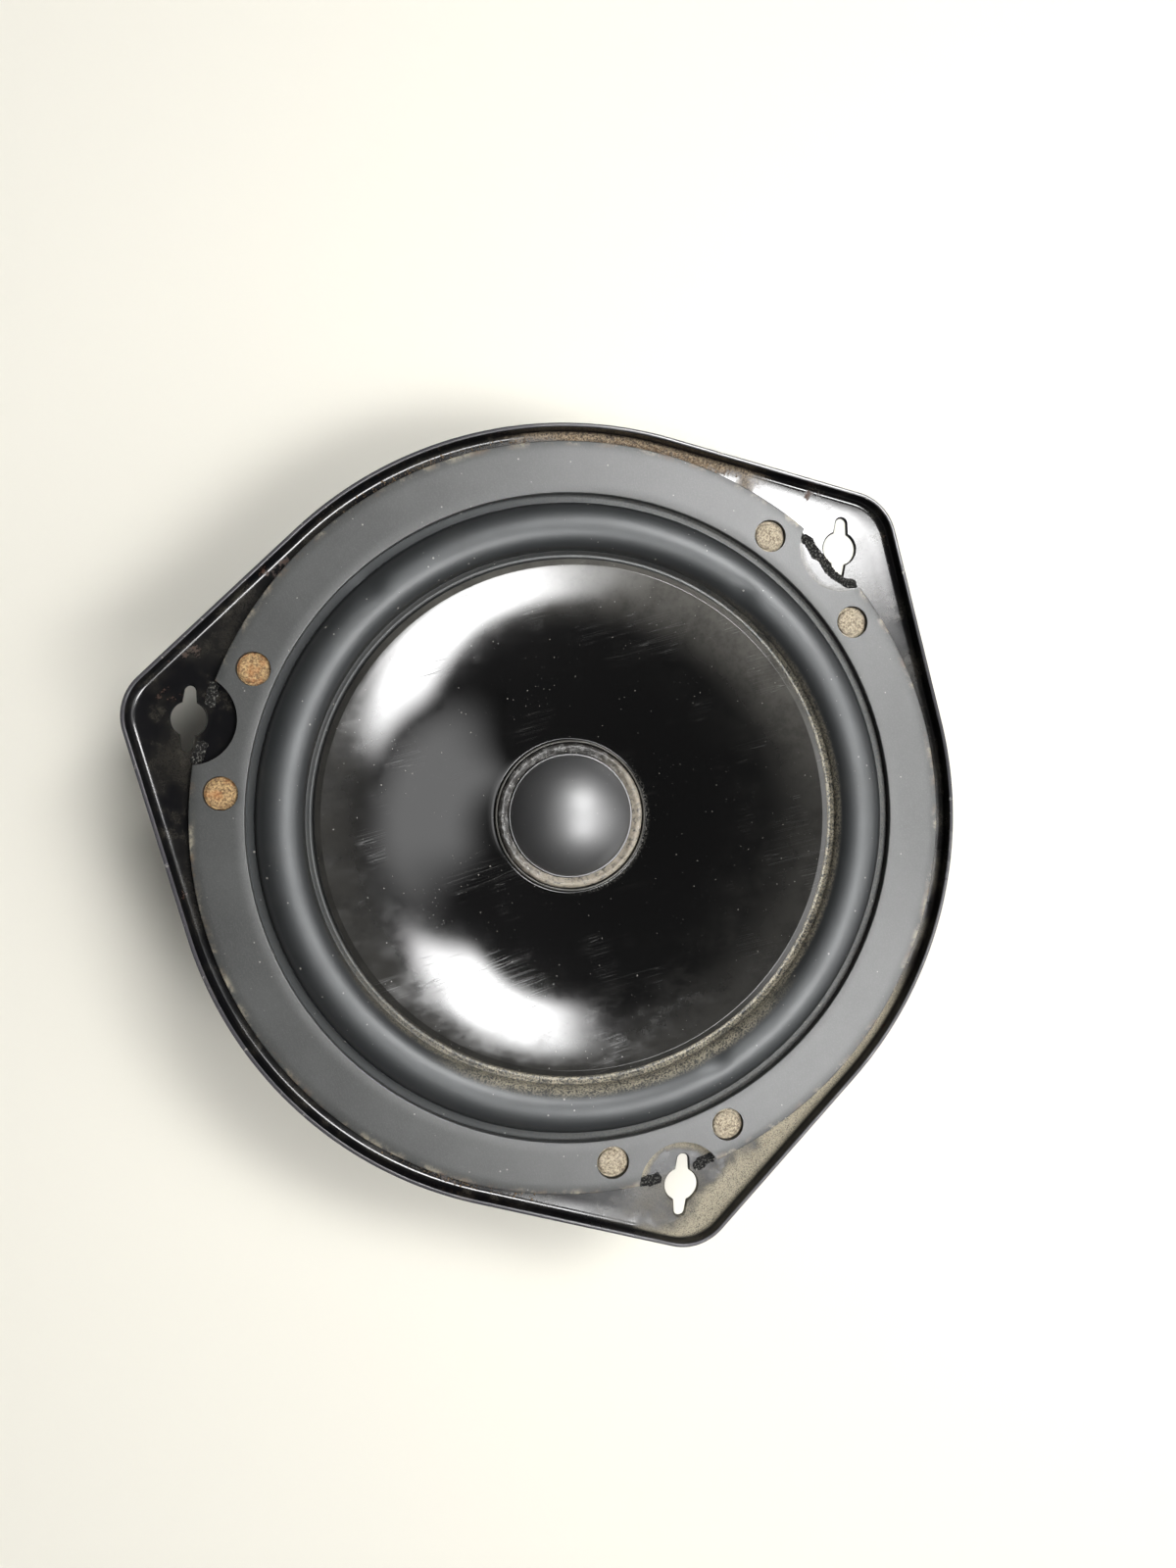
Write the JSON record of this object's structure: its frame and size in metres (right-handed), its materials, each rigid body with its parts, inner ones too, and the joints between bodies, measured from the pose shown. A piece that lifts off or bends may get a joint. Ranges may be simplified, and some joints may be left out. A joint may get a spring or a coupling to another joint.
{
  "type": "car door speaker",
  "caption": "Full-range car door speaker: lobed steel basket, ferrite ring motor, black cone with a dust cap, rubber roll surround and a front gasket.",
  "frame": {"origin": "centre of the motor's flat rear face, on the listening axis", "axes": "+Z along the listening axis, towards the listener; -Y through one of the three mounting ears"},
  "size_m": [0.1734, 0.1843, 0.0588],
  "materials": {
    "basket_paint": "glossy black electrocoat on stamped steel, dusty, rust at a few cut edges",
    "plated_steel": "zinc plated, satin",
    "ferrite": "ground dark grey ferrite, matte",
    "gasket_board": "mid grey pressed fibre, matte, fine grain",
    "surround_rubber": "satin black rubber with dust in its grooves",
    "cone_plastic": "polished black polypropylene, dust specks and fine scratches",
    "cap_coating": "satin coated charcoal dome",
    "adhesive": "dark dried adhesive with bubbles and dust",
    "former_film": "amber film",
    "coil_wire": "enamelled copper wire",
    "spider_cloth": "resin-treated tan cloth, pressed into waves",
    "terminal_board_fibre": "brown phenolic fibre board",
    "tinned_brass": "tinned, satin",
    "lead_braid": "braided copper tinsel"
  },
  "bodies": {
    "frame": {"basket": "basket_paint", "yoke": "plated_steel", "magnet_ring": "ferrite", "front_plate": "plated_steel", "gasket_ring": "gasket_board", "surround": "surround_rubber", "spider": "spider_cloth", "terminal_board": "terminal_board_fibre", "terminal_tab_negative": "tinned_brass", "terminal_tab_positive": "tinned_brass", "tab_eyelet_negative": "tinned_brass", "tab_eyelet_positive": "tinned_brass", "lead_negative": "lead_braid", "lead_positive": "lead_braid", "board_rivet_upper": "plated_steel", "board_rivet_lower": "plated_steel", "basket_rivet_1": "plated_steel", "basket_rivet_2": "plated_steel", "basket_rivet_3": "plated_steel", "basket_rivet_4": "plated_steel"},
    "moving_assembly": {"cone": "cone_plastic", "dust_cap": "cap_coating", "cap_glue_bead": "adhesive", "voice_coil_former": "former_film", "voice_coil_winding": "coil_wire", "neck_adhesive": "adhesive", "lead_joint_negative": "adhesive", "lead_joint_positive": "adhesive"}
  },
  "joints": [
    {"name": "cone_travel", "type": "slide", "parent": "frame", "child": "moving_assembly", "axis": [0, 0, 1], "range_m": [-0.004, 0.004], "stiffness_N_per_m": 1600, "deforming": ["surround", "spider", "lead_negative", "lead_positive"]}
  ]
}
